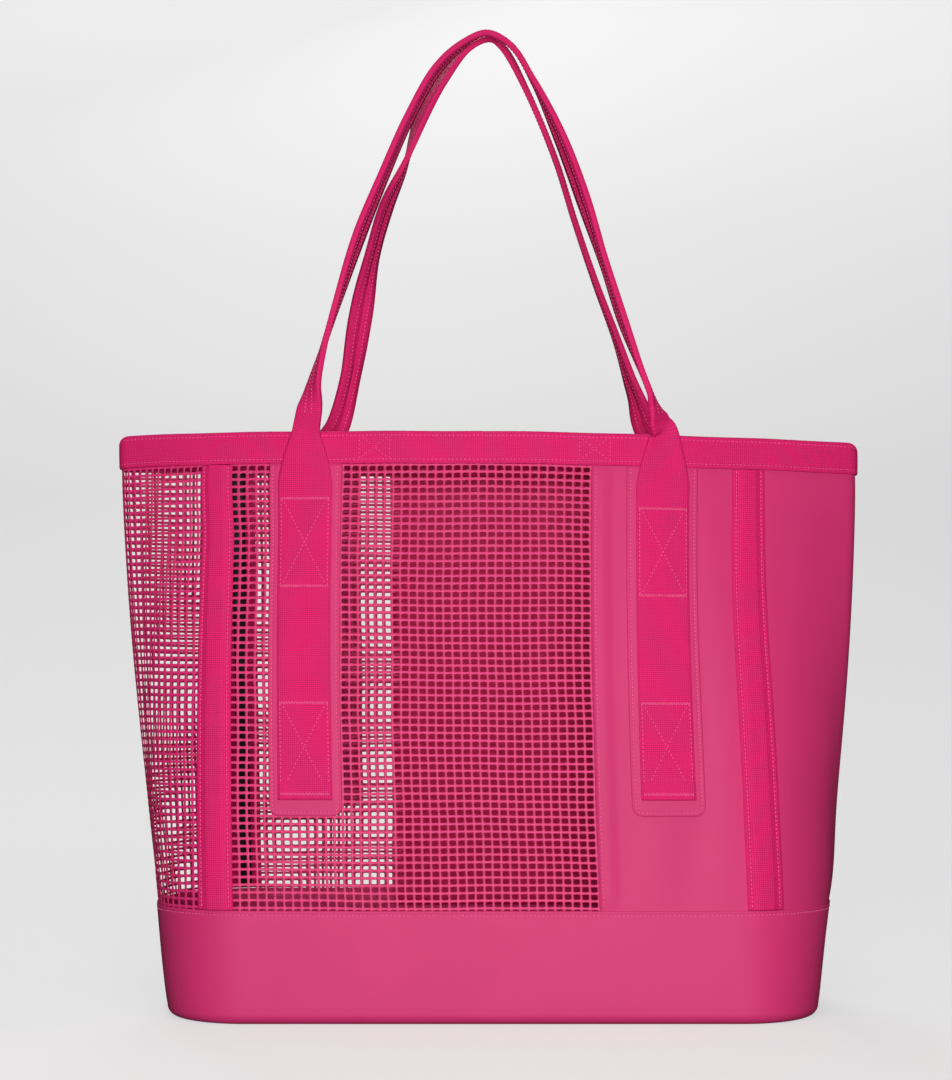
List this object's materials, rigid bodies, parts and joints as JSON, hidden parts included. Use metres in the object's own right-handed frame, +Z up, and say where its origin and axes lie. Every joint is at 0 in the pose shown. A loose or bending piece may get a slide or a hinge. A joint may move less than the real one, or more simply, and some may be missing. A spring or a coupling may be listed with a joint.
{
  "type": "beach bag",
  "caption": "Open beach tote with net and coated-fabric walls, a stiff flat base, webbing edging and two long folded webbing handles.",
  "frame": {"origin": "middle of the underside, on the surface that the bag stands on", "axes": "+Z up, the front faces -Y, +X to the right as seen from the front"},
  "size_m": [0.575, 0.189, 0.7618],
  "materials": {
    "net": "pink PVC-coated open net, satin",
    "coated_fabric": "pink PVC-coated polyester, soft satin",
    "webbing": "hot-pink polyester webbing, matte, fine rib",
    "stay_plastic": "black flat plastic strip",
    "base_board": "stiff plastic board in a pink coated cover, satin"
  },
  "bodies": {
    "bag": {"base_floor": "coated_fabric", "base_board": "base_board", "base_band": "coated_fabric", "front_net_panel": "net", "front_fabric_panel": "coated_fabric", "back_fabric_panel": "coated_fabric", "back_net_panel": "net", "left_net_end": "net", "right_fabric_end": "coated_fabric", "corner_trim_front_left": "webbing", "corner_trim_front_right": "webbing", "corner_trim_back_left": "webbing", "corner_trim_back_right": "webbing", "corner_stay_front_left": "stay_plastic", "corner_stay_front_right": "stay_plastic", "corner_stay_back_left": "stay_plastic", "corner_stay_back_right": "stay_plastic", "rim_binding": "webbing", "rim_tab_front_left": "webbing", "rim_tab_front_right": "webbing", "rim_tab_back_left": "webbing", "rim_tab_back_right": "webbing", "handle_patch_front_left": "coated_fabric", "handle_patch_front_right": "coated_fabric", "handle_patch_back_left": "coated_fabric", "handle_patch_back_right": "coated_fabric", "handle_tail_front_left": "webbing", "handle_tail_front_right": "webbing", "handle_tail_back_left": "webbing", "handle_tail_back_right": "webbing"},
    "front_handle": {"front_handle": "webbing"},
    "back_handle": {"back_handle": "webbing"}
  },
  "joints": [
    {"name": "front_handle_fold", "type": "hinge", "parent": "bag", "child": "front_handle", "pos_m": [0, -0.05725, 0.39], "axis": [1, 0, 0], "range_deg": [0, 165]},
    {"name": "back_handle_fold", "type": "hinge", "parent": "bag", "child": "back_handle", "pos_m": [0, 0.05725, 0.39], "axis": [-1, 0, 0], "range_deg": [0, 165]}
  ]
}
